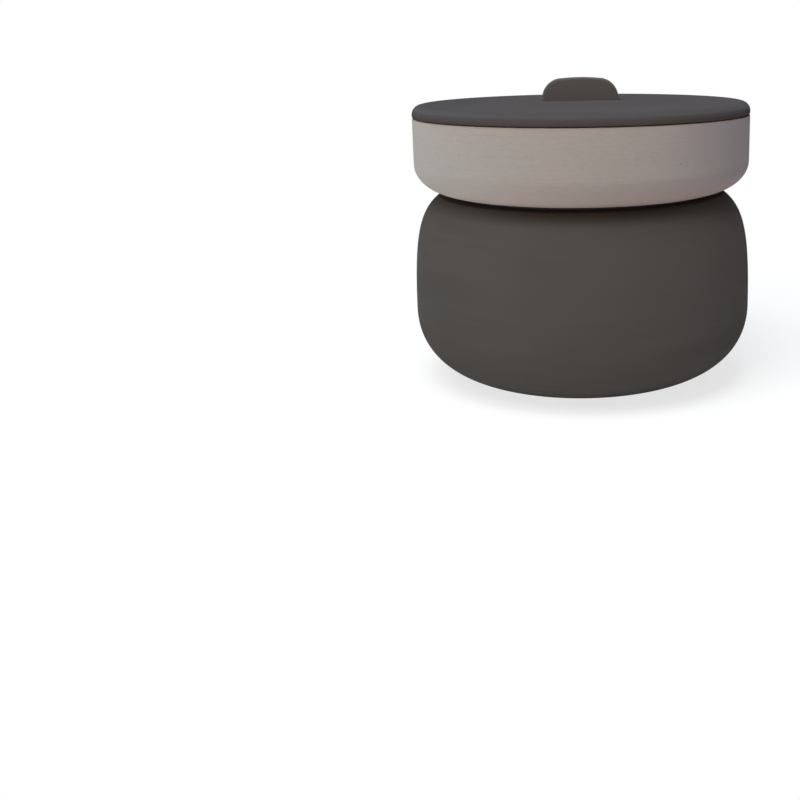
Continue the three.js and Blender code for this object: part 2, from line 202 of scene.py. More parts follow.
# Painted light and shade, and scuffs. A pair says where a tone starts and where it is full, across the
# piece or from an edge.
TRAY_LEFT_LIGHT_TINT = -80 * MM, -178 * MM
TRAY_RIGHT_SHADE = 60 * MM, 180 * MM
CORNER_LIGHT_SHADE_ACROSS = -150 * MM, 120 * MM
CORNER_LIGHT_SHADE_HEIGHT = 34 * MM
RIM_SHADE = 2.2 * MM, 0.6 * MM
SLIP_LEFT_LIGHT_TINT = -60 * MM, -175 * MM
SCUFF_HEIGHT = 6 * MM
MOUTH_SHADOW_HEIGHT = 15 * MM
MOUTH_SHADOW_ACROSS = 150 * MM, 40 * MM
LID_SHADING_HEIGHT = 7.6 * MM
LID_SHADING_FADE = 6.5 * MM
LID_ROUND_BLUR = 1 * MM
LID_ROUND_HIGHLIGHT = 6 * MM, 0.5 * MM

# Texture
OUTLINE_LEAN = 0.62  # how much a step outwards counts as one along a turned outline
SPECK_SPACING = 42 * MM
SPECK_SIZE = 0.9 * MM
BARE_CLAY_RELIEF = 0.08 * MM
SLIP_LINE_RELIEF = 0.035 * MM
SLIP_GRAIN_RELIEF = 0.03 * MM
RUBBER_RELIEF = 0.03 * MM
METAL_RELIEF = 0.02 * MM
TOOL_MARKS = (300, 300, 2500)  # cells to the metre

# Camera, fitted to the photograph. The photograph is square, and the camera's axis meets it at
# the middle given here. Lengths in the photograph are in pixels.
PHOTO_SIDE = 800
PHOTO_MIDDLE_X = 555.3
PHOTO_MIDDLE_Y = 300
FOCAL_LENGTH = 1102.7
SENSOR_WIDTH = 36  # the camera's own millimetres
CAMERA_PLACE = Vector((0, -1200 * MM, 366.3 * MM))
CAMERA_YAW = math.radians(1.424)
CAMERA_PITCH = math.radians(13.445)
CAMERA_ROLL = math.radians(0.825)

# Floor and light
FLOOR_SIZE = 12
FLOOR_GAP = 0.2 * MM
FLOOR_PAPER = 0.9  # what the floor throws back on to the object
FLOOR_GLOW = 0.73  # the white that the camera sees even in shadow
FLOOR_SHADE = 0.3  # the part of its white that shadows darken
FLOOR_FADE_START = 0.3
FLOOR_FADE_END = 0.7
WORLD_COLOR = (0.84, 0.94, 1)
WORLD_LEVEL = 0.11
UNDERLIGHT_SIZE = 0.24
UNDERLIGHT_POWER = 0.06
LIGHT_TARGET = Vector((0, 0, 150 * MM))
# For each light: degrees round from the front, degrees up, distance, side, power and colour
LIGHTS = {
    "front_light": (-32, 54, 2.6, 1.8, 46, (1.0, 0.95, 0.88)),
    "low_light": (-22, 5, 2.6, 1.8, 19, (1.0, 0.9, 0.82)),
    "left_light": (-88, 8, 2.4, 1.6, 12.5, (0.5, 0.92, 0.98)),
    "right_light": (78, 12, 2.4, 1.6, 4.5, (0.72, 0.75, 1.0)),
    "back_light": (165, 20, 2.6, 1.8, 10, (1.0, 0.87, 0.8)),
    "top_light": (-20, 80, 2.4, 1.6, 36, (0.74, 0.86, 1.0)),
}

# Places that follow from these sizes
belly_radius = outer_radius + BELLY_PROUD
belly_height = pad_proud + BASE_CURVE_HEIGHT
base_flat_radius = belly_radius - BASE_CURVE_WIDTH
vessel_floor_top = pad_proud + VESSEL_FLOOR
inner_base_width = BASE_CURVE_WIDTH - VESSEL_WALL
inner_base_height = belly_height - vessel_floor_top
mouth_radius = outer_radius - MOUTH_INSET
gasket_outer = mouth_radius - SEAT_GAP
spigot_radius = gasket_outer - GASKET_SKIRT - GASKET_CLEARANCE
tray_bottom = tray_low.z + SPIGOT_DEPTH
tray_rim = tray_high.z
tray_inner_radius = outer_radius - TRAY_WALL
lid_bottom = tray_rim + LID_AIR_GAP
lid_top = lid_high.z
lid_edge_top = lid_top - LID_CROWN
lid_plate_bottom = lid_top - LID_PLATE
flange_radius = tray_inner_radius - FLANGE_CLEARANCE
handle_half_length = handle_high.x
dome_bottom = dome_low.z
dome_top = dome_high.z - KNOB_NECK - KNOB_HEIGHT
dome_foot_radius = base_flat_radius - DOME_FOOT_INSET
dome_foot_inner = dome_foot_radius - DOME_FOOT_WIDTH
dome_top_radius = dome_foot_radius - DOME_SLOPE_WIDTH
dome_brim_radius = dome_high.x
screw_places = (-SCREW_SPACING / 2, SCREW_SPACING / 2)


# Outlines and turned meshes
@dataclass
class Corner:
    """A point of an outline, as a radius and a height, with the rounding of its corner."""

    x: float
    z: float
    round: float = 0
    steps: int = FILLET_STEPS


def ellipse(x, z, width, height, start, end, steps=CURVE_STEPS):
    """Part of an ellipse about (x, z), between two angles in turns."""
    points = []
    for step in range(steps + 1):
        angle = TURN * (start + (end - start) * step / steps)
        points.append(Corner(x + width * math.cos(angle), z + height * math.sin(angle)))
    return points


def drawn(corners, steps=CURVE_STEPS):
    """A curve from the first corner to the last, drawn by the two between them."""
    start, leave, arrive, end = (Vector(corner) for corner in corners)
    points = []
    for step in range(steps + 1):
        share = step / steps
        place = (
            start * (1 - share) ** 3
            + leave * 3 * share * (1 - share) ** 2
            + arrive * 3 * share * share * (1 - share)
            + end * share**3
        )
        points.append(Corner(place.x, place.y))
    return points


def rounded(outline):
    """The outline as plain points, with each stated rounding made as a curve."""
    points = []
    for i, corner in enumerate(outline):
        here = Vector((corner.x, corner.z))
        if not corner.round:
            points.append(here)
            continue
        last, following = outline[i - 1], outline[(i + 1) % len(outline)]
        back = Vector((last.x, last.z)) - here
        ahead = Vector((following.x, following.z)) - here
        half = back.angle(ahead) / 2
        reach = min(corner.round / math.tan(half), back.length / 2, ahead.length / 2)
        start = here + back.normalized() * reach
        end = here + ahead.normalized() * reach
        for step in range(corner.steps + 1):
            share = step / corner.steps
            points.append(start * (1 - share) ** 2 + here * 2 * share * (1 - share) + end * share**2)
    return points


def new_object(name, bm):
    mesh = bpy.data.meshes.new(name)
    bm.to_mesh(mesh)
    bm.free()
    piece = bpy.data.objects.new(name, mesh)
    bpy.context.scene.collection.objects.link(piece)
    return piece


def turned(name, outline, segments=ROUND_SEGMENTS, at=(0, 0)):
    """Turns an outline round an upright axis. It runs anticlockwise, along the underside first."""
    profile = rounded(outline)
    bm = bmesh.new()
    rings = []
    for radius, height in profile:
        ring = []
        for i in range(segments if radius > 0 else 1):
            angle = TURN * i / segments
            x, y = at[0] + radius * math.cos(angle), at[1] + radius * math.sin(angle)
            ring.append(bm.verts.new((x, y, height)))
        rings.append(ring)
    closed = profile[0].x > 0
    for lower, upper in zip(rings, rings[1:] + rings[:1] if closed else rings[1:]):
        if len(lower) == 1 or len(upper) == 1:
            disc = upper[::-1] if len(lower) == 1 else lower
            bm.faces.new(disc)
            continue
        for i in range(segments):
            after = (i + 1) % segments
            bm.faces.new((lower[i], lower[after], upper[after], upper[i]))
    loose = [v for v in bm.verts if not v.link_faces]
    bmesh.ops.delete(bm, geom=loose, context="VERTS")
    return new_object(name, bm)


def around(count, radius, start_angle=0.0):
    """Places spaced evenly round the middle, as (x, y, angle)."""
    angles = [start_angle + i * TURN / count for i in range(count)]
    return [(radius * math.cos(angle), radius * math.sin(angle), angle) for angle in angles]


def cutter(radius, low, high, x, y, flare=0.0, segments=HOLE_SEGMENTS):
    """A round cutter. With a flare it also softens the hole's rims where it meets low and high."""
    bottom, top = low - CUT_BEYOND, high + CUT_BEYOND
    outline = [Corner(0, bottom)]
    if flare:
        outline += [Corner(radius + flare, bottom), Corner(radius + flare, low)]
        outline.append(Corner(radius, low + flare, flare, HOLE_RIM_STEPS))
        outline.append(Corner(radius, high - flare, flare, HOLE_RIM_STEPS))
        outline += [Corner(radius + flare, high), Corner(radius + flare, top)]
    else:
        outline += [Corner(radius, bottom), Corner(radius, top)]
    outline.append(Corner(0, top))
    return turned("cutter", outline, segments, (x, y))


def pocket_cutter(radius, low, depth, x, y, segments=HOLE_SEGMENTS):
    """A round cutter for a pocket of a depth, up from a face that looks down."""
    return cutter(radius, low, low + depth - CUT_BEYOND, x, y, segments=segments)


def join_rings(bm, near, far):
    """Faces all the way round, between two rings of points."""
    for i in range(len(near)):
        after = (i + 1) % len(near)
        bm.faces.new((near[i], far[i], far[after], near[after]))


def cut(piece, cutters):
    """Cuts the cutters out of the piece and removes them."""
    bm = bmesh.new()
    for tool in cutters:
        bm.from_mesh(tool.data)
        bpy.data.objects.remove(tool)
    tools = new_object("cutters", bm)
    modifier = piece.modifiers.new("holes", "BOOLEAN")
    modifier.operation = "DIFFERENCE"
    modifier.solver = "EXACT"
    modifier.object = tools
    bpy.context.view_layer.update()
    shaped = piece.evaluated_get(bpy.context.evaluated_depsgraph_get())
    mesh = bpy.data.meshes.new_from_object(shaped)
    piece.modifiers.clear()
    piece.data = mesh
    bpy.data.objects.remove(tools)


def smooth(piece):
    """Smooth shading, with a crease wherever two faces meet at more than the sharp angle."""
    bm = bmesh.new()
    bm.from_mesh(piece.data)
    bmesh.ops.remove_doubles(bm, verts=bm.verts, dist=WELD_DISTANCE)
    for face in bm.faces:
        face.smooth = True
    for edge in bm.edges:
        edge.smooth = len(edge.link_faces) == 2 and edge.calc_face_angle(0) < SHARP_ANGLE
    bm.to_mesh(piece.data)
    bm.free()


def dress(piece, node, body, finish):
    """Smooths a finished piece, gives it its finish, and lets it stand for a node of the frame."""
    smooth(piece)
    piece.data.materials.clear()
    piece.data.materials.append(finish)
    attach(piece, body)
    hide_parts(node)


# Node graphs and finishes
class Graph:
    """Short calls that add nodes to a node tree and link them."""

    def __init__(self, tree):
        self.nodes = tree.nodes
        self.links = tree.links

    def feed(self, socket, value):
        """Links a socket to an output, or sets it to a number, a vector or a colour."""
        if isinstance(value, bpy.types.NodeSocket):
            self.links.new(value, socket)
        elif socket.type == "RGBA":
            socket.default_value = (*value, 1)
        else:
            socket.default_value = value

    def node(self, kind, output=0, inputs=None, **settings):
        """Adds a node, feeds the inputs that are given, and returns one of its outputs."""
        node = self.nodes.new("ShaderNode" + kind)
        for name, value in settings.items():
            setattr(node, name, value)
        for name, value in (inputs or {}).items():
            self.feed(node.inputs[name], value)
        return node.outputs[output]

    def math(self, operation, a, b=0.0):
        return self.node("Math", "Value", {0: a, 1: b}, operation=operation)

    def length(self, vector):
        return self.node("VectorMath", "Value", {0: vector}, operation="LENGTH")

    def step(self, value, start, end):
        """Runs smoothly from 0 at start to 1 at end."""
        rising = start < end
        inputs = {
            "Value": value,
            "From Min": min(start, end),
            "From Max": max(start, end),
            "To Min": 0 if rising else 1,
            "To Max": 1 if rising else 0,
        }
        return self.node("MapRange", "Result", inputs, interpolation_type="SMOOTHSTEP")

    def blend(self, share, a, b):
        """Mixes two shaders."""
        return self.node("MixShader", 0, {0: share, 1: a, 2: b})


class Surface(Graph):
    """A material with one shader, and short calls for what varies it from place to place."""

    def __init__(self, name, color, roughness, specular=0.5, metallic=0.0, diffuse_roughness=0.0):
        self.material = bpy.data.materials.new(name)
        self.material.use_nodes = True
        super().__init__(self.material.node_tree)
        self.shader = self.nodes["Principled BSDF"]
        self.put("Base Color", color)
        self.put("Roughness", roughness)
        self.put("Specular IOR Level", specular)
        self.put("Metallic", metallic)
        self.put("Diffuse Roughness", diffuse_roughness)
        self.place = self.node("TexCoord", "Object")

    def put(self, name, value):
        """Feeds one of the shader's own sockets."""
        self.feed(self.shader.inputs[name], value)

    def finished(self, color, roughness, normal):
        self.put("Base Color", color)
        self.put("Roughness", roughness)
        self.put("Normal", normal)
        return self.material

    def axes(self):
        """The place on the object as three numbers."""
        node = self.nodes.new("ShaderNodeSeparateXYZ")
        self.feed(node.inputs[0], self.place)
        return node.outputs

    def joined(self, x, y, z):
        """Three numbers as one place."""
        return self.node("CombineXYZ", 0, {0: x, 1: y, 2: z})

    def turning(self, along, across):
        """A place with its cells to the metre along the turning lines, and across them."""
        x, y, z = self.axes()
        radius = self.length(self.joined(x, y, 0))
        outline = self.raised(radius, OUTLINE_LEAN, z)
        scaled = [self.math("MULTIPLY", *pair) for pair in ((x, along), (y, along), (outline, across))]
        return self.joined(*scaled)

    def noise(self, scale, detail=3.0, roughness=0.5, place=None, distortion=0.0):
        """Soft noise about the middle of 0 to 1, with so many cells to the metre."""
        inputs = {
            "Vector": place or self.place,
            "Scale": scale,
            "Detail": detail,
            "Roughness": roughness,
            "Distortion": distortion,
        }
        return self.node("TexNoise", "Fac", inputs)

    def specks(self, spacing, size, core=0.6):
        """1 in small round specks, one to each cell of the spacing, fading to 0 from their cores."""
        distance = self.node("TexVoronoi", "Distance", {"Vector": self.place, "Scale": 1 / spacing})
        return self.step(distance, size / spacing, core * size / spacing)

    def raised(self, value, amount, start):
        """A start, with an amount of the value on top."""
        return self.math("ADD", self.math("MULTIPLY", value, amount), start)

    def mix(self, share, a, b, blend_type="MIX"):
        """Mixes two colours: the node's inputs 6 and 7, and its output 2."""
        return self.node("Mix", 2, {0: share, 6: a, 7: b}, data_type="RGBA", blend_type=blend_type)

    def tinted(self, color, other, where, amount):
        """The colour, brought by an amount towards the other one where a value is 1."""
        return self.mix(self.math("MULTIPLY", where, amount), color, other)

    def filtered(self, color, factor, where):
        """The colour, multiplied by a factor where a value is 1."""
        return self.mix(where, color, factor, "MULTIPLY")

    def bump(self, height, depth, below=None):
        """Adds relief of a depth in metres, on top of another relief if one is given."""
        inputs = {"Strength": 1, "Distance": depth, "Height": height}
        if below:
            inputs["Normal"] = below
        return self.node("Bump", "Normal", inputs)


def shaded(color, factor):
    """The colour, darker or lighter by a factor."""
    return tuple(factor * channel for channel in color)


def pale_stoneware():
    """Unglazed pale stoneware: fine turning lines, short drag marks, faint warm and cool mottling,
    sand and a few specks. Painted light makes it greyer to the left and lighter at the left of its
    lower corner; painted shade makes it bluer to the right, darker at the right of its lower corner and
    at its rim under the lid."""
    warm, cool = (0.378, 0.328, 0.3), (0.361, 0.325, 0.309)
    dark, pale = (0.285, 0.243, 0.222), (0.39, 0.335, 0.30)
    # painted cool light for the left side, painted shade for the right side
    left_light_tint, right_shade_tint = (0.338, 0.328, 0.32), (0.268, 0.232, 0.258)
    # painted light for the left of the lower corner, painted shade for its right
    lit_corner, shaded_corner = (0.485, 0.4, 0.35), (0.335, 0.24, 0.21)
    # the second colour is painted shade under the lid's edge
    speck, rim_shade = (0.12, 0.09, 0.075), (0.30, 0.2, 0.15)
    surface = Surface("pale_stoneware", (0.35, 0.295, 0.272), 0.9, 0.02, diffuse_roughness=0.6)
    x, _, height = surface.axes()
    patches = surface.step(surface.noise(11, detail=4, roughness=0.55, distortion=0.8), 0.3, 0.7)
    lines = surface.noise(1, detail=4, roughness=0.65, place=surface.turning(9, 620))
    drags = surface.noise(1, detail=2, roughness=0.6, place=surface.turning(130, 640))
    broad = surface.noise(1, detail=2, place=surface.turning(4, 90))
    sand = surface.noise(1900, detail=2, roughness=0.6)
    color = surface.mix(patches, warm, cool)
    # painted cool light: greyer towards the left
    color = surface.tinted(color, left_light_tint, surface.step(x, *TRAY_LEFT_LIGHT_TINT), 0.6)
    # painted shade: bluer and darker towards the right
    color = surface.tinted(color, right_shade_tint, surface.step(x, *TRAY_RIGHT_SHADE), 0.6)
    color = surface.tinted(color, dark, surface.step(lines, 0.45, 0.75), 0.2)
    color = surface.tinted(color, dark, surface.step(drags, 0.4, 0.7), 0.24)
    color = surface.tinted(color, pale, surface.step(broad, 0.5, 0.75), 0.14)
    color = surface.tinted(color, dark, surface.step(sand, 0.46, 0.66), 0.34)
    color = surface.tinted(color, speck, surface.specks(SPECK_SPACING, SPECK_SIZE), 0.6)
    # painted light and shade on the lower corner: lighter to the left, darker to the right
    corner_light_and_shade = surface.mix(surface.step(x, *CORNER_LIGHT_SHADE_ACROSS), lit_corner, shaded_corner)
    near_foot = surface.step(height, tray_bottom + CORNER_LIGHT_SHADE_HEIGHT, tray_bottom)
    color = surface.tinted(color, corner_light_and_shade, near_foot, 0.72)
    # painted shade along the rim, under the lid
    near_rim = surface.step(height, *(tray_rim - below for below in RIM_SHADE))
    color = surface.tinted(color, rim_shade, near_rim, 0.5)
    normal = surface.bump(lines, BARE_CLAY_RELIEF)
    normal = surface.bump(sand, BARE_CLAY_RELIEF, normal)
    return surface.finished(color, surface.raised(sand, 0.12, 0.84), normal)


def dark_stoneware(name, base, cool, scuff_below=0.0, tray_shadow_above=0.0, edge_shading_below=0.0, specular=0.005):
    """Smooth dark stoneware: soft level streaks and clouds, faint turning lines and fine grain, with
    painted cool light that makes it a little greyer and darker to the left. Three heights are optional:
    it is scuffed below the first, has painted shade of the tray above the second, and painted warmer
    shade below the third with a painted highlight in a band just over it."""
    # painted light and shade: cool light to the left, warmer shade on the lid's lower band, a highlight
    # on its rounded edge
    left_light_tint, lower_edge_shade, round_edge_highlight = (0.86, 0.9, 0.93), (0.91, 0.85, 0.74), (1.16, 1.2, 1.22)
    # the second colour is painted shade where the tray overhangs the shoulder
    scuffed, tray_shadow_color = (0.2, 0.185, 0.17), (0.038, 0.026, 0.018)
    surface = Surface(name, base, 0.85, specular, diffuse_roughness=0.6)
    x, _, height = surface.axes()
    clouds = surface.step(surface.noise(9, distortion=0.4), 0.36, 0.64)
    streaks = surface.step(surface.noise(1, detail=2, place=surface.turning(5, 34)), 0.38, 0.66)
    lines = surface.noise(1, roughness=0.6, place=surface.turning(6, 380))
    grain = surface.noise(2400, detail=2, roughness=0.6)
    color = surface.mix(clouds, base, cool)
    color = surface.tinted(color, shaded(base, 0.88), streaks, 0.5)
    color = surface.tinted(color, shaded(base, 1.2), surface.step(lines, 0.5, 0.8), 0.25)
    color = surface.tinted(color, shaded(base, 0.6), surface.step(grain, 0.46, 0.66), 0.24)
    # painted cool light: a little greyer and darker to the left
    color = surface.filtered(color, left_light_tint, surface.step(x, *SLIP_LEFT_LIGHT_TINT))
    if scuff_below:
        scuffs = surface.step(surface.noise(70, detail=6, roughness=0.65), 0.35, 0.8)
        rubbed = surface.math("MULTIPLY", surface.step(height, scuff_below, 0), scuffs)
        color = surface.tinted(color, scuffed, rubbed, 0.5)
    # painted shade of the tray on the shoulder by the mouth, deepest at the front and back
    if tray_shadow_above:
        under_tray = surface.step(height, tray_shadow_above, tray_shadow_above + MOUTH_SHADOW_HEIGHT)
        middle = surface.step(surface.math("ABSOLUTE", x), *MOUTH_SHADOW_ACROSS)
        share = surface.math("MULTIPLY", under_tray, surface.raised(middle, 0.6, 0.25))
        color = surface.mix(share, color, tray_shadow_color)
    # painted light on the lid's edge: warmer, darker shade on its lower band and a painted highlight on
    # the rounded edge above
    if edge_shading_below:
        lower = surface.step(height, edge_shading_below, edge_shading_below - LID_SHADING_FADE)
        color = surface.filtered(color, lower_edge_shade, lower)
        above = surface.step(height, edge_shading_below - LID_ROUND_BLUR, edge_shading_below + LID_ROUND_BLUR)
        below = surface.step(height, *(edge_shading_below + up for up in LID_ROUND_HIGHLIGHT))
        color = surface.filtered(color, round_edge_highlight, surface.math("MULTIPLY", above, below))
    normal = surface.bump(lines, SLIP_LINE_RELIEF)
    normal = surface.bump(grain, SLIP_GRAIN_RELIEF, normal)
    return surface.finished(color, surface.raised(clouds, 0.08, 0.8), normal)


def rubber(name, color, roughness):
    """Moulded rubber or silicone: matt, faintly dusty, with a fine moulded texture."""
    surface = Surface(name, color, roughness, 0.35)
    dust = surface.step(surface.noise(220, detail=4, roughness=0.6), 0.45, 0.75)
    shade = surface.tinted(color, shaded(color, 2.4), dust, 0.3)
    texture = surface.bump(surface.noise(3200, detail=2), RUBBER_RELIEF)
    return surface.finished(shade, surface.raised(dust, 0.15, roughness), texture)


def turned_metal(name, color, roughness):
    """Turned metal with fine tool marks round each axis and a little tarnish."""
    surface = Surface(name, color, roughness, metallic=1.0)
    tarnish = surface.step(surface.noise(420), 0.4, 0.7)
    shade = surface.tinted(color, shaded(color, 0.55), tarnish, 0.35)
    inputs = {0: surface.place, 1: TOOL_MARKS}
    place = surface.node("VectorMath", "Vector", inputs, operation="MULTIPLY")
    tool = surface.bump(surface.noise(1, detail=2, place=place), METAL_RELIEF)
    return surface.finished(shade, surface.raised(tarnish, 0.2, roughness), tool)


# Ceramic pieces
def smoothstep(value, start, end):
    """Runs smoothly from 0 at start to 1 at end."""
    share = min(max((value - start) / (end - start), 0), 1)
    return share * share * (3 - 2 * share)


def vessel_outside():
    """One curve from the foot up to the belly, and one from there over the shoulder to the mouth."""
    land_radius = mouth_radius + LAND_WIDTH
    base = drawn(
        [
            (base_flat_radius, pad_proud),
            (base_flat_radius + BASE_REACH, pad_proud),
            (belly_radius, belly_height - BELLY_DROP),
            (belly_radius, belly_height),
        ]
    )
    wall = drawn(
        [
            (belly_radius, belly_height),
            (belly_radius, belly_height + BELLY_RISE),
            (belly_radius - SHOULDER_INSET, mouth_height - SHOULDER_DROP),
            (land_radius, mouth_height),
        ],
        2 * CURVE_STEPS,
    )
    wall[-1].round = LAND_EDGE
    return base + wall[1:]


def vessel_inside():
    """The inner wall, from the foot of the throat down to the middle of the floor."""
    wall_radius = belly_radius - VESSEL_WALL
    wall = drawn(
        [
            (mouth_radius, mouth_height - THROAT),
            (wall_radius, mouth_height - THROAT),
            (wall_radius, belly_height + BELLY_RISE - VESSEL_WALL),
            (wall_radius, belly_height),
        ]
    )
    middle = base_flat_radius, belly_height
    base = ellipse(*middle, inner_base_width, inner_base_height, 0, -1 / 4, INSIDE_STEPS)
    return wall + base[1:] + [Corner(0, vessel_floor_top)]


def pad_places():
    return around(PAD_COUNT, base_flat_radius - FOOT_RING_WIDTH / 2, TURN / 8)


def make_vessel(finish):
    recess_top = pad_proud + FOOT_RECESS
    foot_inner = base_flat_radius - FOOT_RING_WIDTH
    outline = [
        Corner(0, recess_top),
        Corner(foot_inner - FOOT_RECESS, recess_top, FOOT_RECESS / 2),
        Corner(foot_inner, pad_proud, FOOT_RECESS / 2),
        *vessel_outside(),
        Corner(mouth_radius, mouth_height, MOUTH_EDGE),
        *vessel_inside(),
    ]
    vessel = turned("stoneware_vessel", outline)
    radius = PAD_RADIUS + PAD_CLEARANCE
    cut(vessel, [pocket_cutter(radius, pad_proud, PAD_POCKET, x, y) for x, y, _ in pad_places()])
    dress(vessel, "base_vessel", "base", finish)


def make_tray(finish):
    bottom_flat = outer_radius - TRAY_CORNER_WIDTH
    corner_top = tray_bottom + TRAY_CORNER_HEIGHT
    floor_top = tray_bottom + TRAY_FLOOR
    inner_width = TRAY_CORNER_WIDTH - TRAY_WALL
    spigot_inner = spigot_radius - SPIGOT_WIDTH
    outline = [
        Corner(0, tray_bottom),
        Corner(spigot_inner, tray_bottom, SPIGOT_EDGE / 2),
        Corner(spigot_inner, tray_low.z, SPIGOT_EDGE),
        Corner(spigot_radius, tray_low.z, SPIGOT_EDGE),
        Corner(spigot_radius, tray_bottom),
        *ellipse(bottom_flat, corner_top, TRAY_CORNER_WIDTH, TRAY_CORNER_HEIGHT, -1 / 4, 0),
        Corner(outer_radius, tray_rim, TRAY_RIM_EDGE),
        Corner(tray_inner_radius, tray_rim, TRAY_RIM_EDGE),
        *ellipse(bottom_flat, corner_top, inner_width, corner_top - floor_top, 0, -1 / 4, INSIDE_STEPS),
        Corner(0, floor_top),
    ]
    tray = turned("stoneware_tray", outline)
    pitch = (spigot_inner - WORM_HOLE_RADIUS) / (WORM_HOLE_RINGS + 1 / 2)
    places = [(0, 0, 0)]
    for ring in range(1, WORM_HOLE_RINGS + 1):
        places += around(ring * WORM_HOLES_PER_RING, ring * pitch)
    hole = WORM_HOLE_RADIUS, tray_bottom, floor_top
    cut(tray, [cutter(*hole, x, y, WORM_HOLE_RIM) for x, y, _ in places])
    dress(tray, "feeding_tray", "tray", finish)


def make_lid(finish):
    flange_inner = flange_radius - FLANGE_WIDTH
    edge_radius = outer_radius - LID_EDGE_ROUND
    seat_radius = handle_half_length + HANDLE_SEAT_MARGIN
    crown = []
    for i in range(1, INSIDE_STEPS + 1):
        share = i / INSIDE_STEPS
        radius = edge_radius + (seat_radius - edge_radius) * share
        crown.append(Corner(radius, lid_edge_top + LID_CROWN * math.sin(share * TURN / 4)))
    outline = [
        Corner(0, lid_plate_bottom),
        Corner(flange_inner, lid_plate_bottom, FLANGE_EDGE),
        Corner(flange_inner, lid_low.z, FLANGE_EDGE),
        Corner(flange_radius, lid_low.z, FLANGE_EDGE),
        Corner(flange_radius, lid_bottom),
        Corner(outer_radius, lid_bottom, LID_LOWER_EDGE),
        *ellipse(edge_radius, lid_edge_top - LID_EDGE_ROUND, LID_EDGE_ROUND, LID_EDGE_ROUND, 0, 1 / 4),
        *crown,
        Corner(0, lid_top),
    ]
    lid = turned("stoneware_lid", outline)
    pocket = BUMPER_RADIUS + BUMPER_CLEARANCE, lid_bottom, BUMPER_POCKET
    cutters = [pocket_cutter(*pocket, x, y) for x, y, _ in bumper_places()]
    hole_radius = SCREW_SHANK_RADIUS + SCREW_CLEARANCE
    cutters += [cutter(hole_radius, lid_plate_bottom, lid_top, x, 0) for x in screw_places]
    cut(lid, cutters)
    dress(lid, "lid_plate", "lid", finish)


def make_dome(finish):
    brim_top = dome_bottom + BRIM_GAP + DOME_THICKNESS
    floor_share = max(dome_brim_radius - base_flat_radius, 0) / inner_base_width
    floor_height = belly_height - inner_base_height * math.sqrt(1 - floor_share**2)
    brim_bottom = max(dome_bottom, floor_height) + BRIM_GAP

    def face(radius):
        share = smoothstep(radius, dome_top_radius, dome_foot_radius)
        return dome_top + (brim_top - dome_top) * share

    def slope(start, end, drop):
        radii = [start + (end - start) * i / CURVE_STEPS for i in range(CURVE_STEPS + 1)]
        return [Corner(r, face(r) - drop) for r in radii]

    outline = [
        Corner(0, dome_top - DOME_THICKNESS),
        *slope(dome_top_radius, dome_foot_inner, DOME_THICKNESS),
        Corner(dome_foot_inner, dome_bottom),
        Corner(dome_foot_radius, dome_bottom),
        Corner(dome_foot_radius, dome_bottom + BRIM_GAP),
        Corner(dome_brim_radius, brim_bottom, BRIM_EDGE),
        Corner(dome_brim_radius, brim_bottom + DOME_THICKNESS, BRIM_EDGE),
        *slope(dome_foot_radius, dome_top_radius, 0),
        Corner(KNOB_NECK_RADIUS, dome_top, KNOB_EDGE),
        Corner(KNOB_NECK_RADIUS, dome_top + KNOB_NECK, KNOB_EDGE / 2),
        Corner(KNOB_RADIUS, dome_top + KNOB_NECK, KNOB_EDGE / 2),
        Corner(KNOB_RADIUS, dome_high.z, KNOB_EDGE),
        Corner(0, dome_high.z),
    ]
    dome = turned("stoneware_dome", outline)
    first = KNOB_RADIUS + DRAIN_HOLE_MARGIN
    last = dome_foot_inner - DRAIN_HOLE_MARGIN
    cutters = []
    for ring in range(DRAIN_HOLE_RINGS):
        radius = first + (last - first) * ring / (DRAIN_HOLE_RINGS - 1)
        places = around(math.floor(TURN * radius / DRAIN_HOLE_SPACING), radius)
        cutters += [cutter(DRAIN_HOLE_RADIUS, dome_bottom, dome_top, x, y) for x, y, _ in places]
    for x, y, angle in around(NOTCH_COUNT, dome_foot_radius - DOME_FOOT_WIDTH / 2):
        cutters.append(notch_cutter(x, y, angle))
    cut(dome, cutters)
    dress(dome, "drain_dome", "dome", finish)


def notch_cutter(x, y, angle):
    """A box with two rounded upper edges that lets liquid under the dome's foot ring."""
    half, low, high = NOTCH_WIDTH / 2, dome_bottom - CUT_BEYOND, dome_bottom + NOTCH_HEIGHT
    outline = [Corner(-half, low), Corner(half, low)]
    outline += [Corner(half, high, NOTCH_EDGE), Corner(-half, high, NOTCH_EDGE)]
    points = rounded(outline)
    reach = DOME_FOOT_WIDTH / 2 + CUT_BEYOND
    bm = bmesh.new()
    front = [bm.verts.new((reach, across, height)) for across, height in points]
    back = [bm.verts.new((-reach, across, height)) for across, height in points]
    bm.faces.new(front)
    bm.faces.new(back[::-1])
    join_rings(bm, front, back)
    bm.transform(Matrix.Translation((x, y, 0)) @ Matrix.Rotation(angle, 4, "Z"))
    return new_object("cutter", bm)


def make_gasket(finish):
    bottom = gasket_high.z - GASKET_THICKNESS
    skirt_inner = gasket_outer - GASKET_SKIRT
    outline = [
        Corner(skirt_inner, gasket_low.z, GASKET_EDGE / 2),
        Corner(gasket_outer, gasket_low.z, GASKET_EDGE / 2),
        Corner(gasket_outer, bottom, GASKET_EDGE / 2),
        Corner(gasket_high.x, bottom, GASKET_EDGE),
        Corner(gasket_high.x, gasket_high.z, GASKET_EDGE),
        Corner(skirt_inner, gasket_high.z, GASKET_EDGE),
    ]
    dress(turned("soft_gasket", outline), "mouth_gasket", "base", finish)


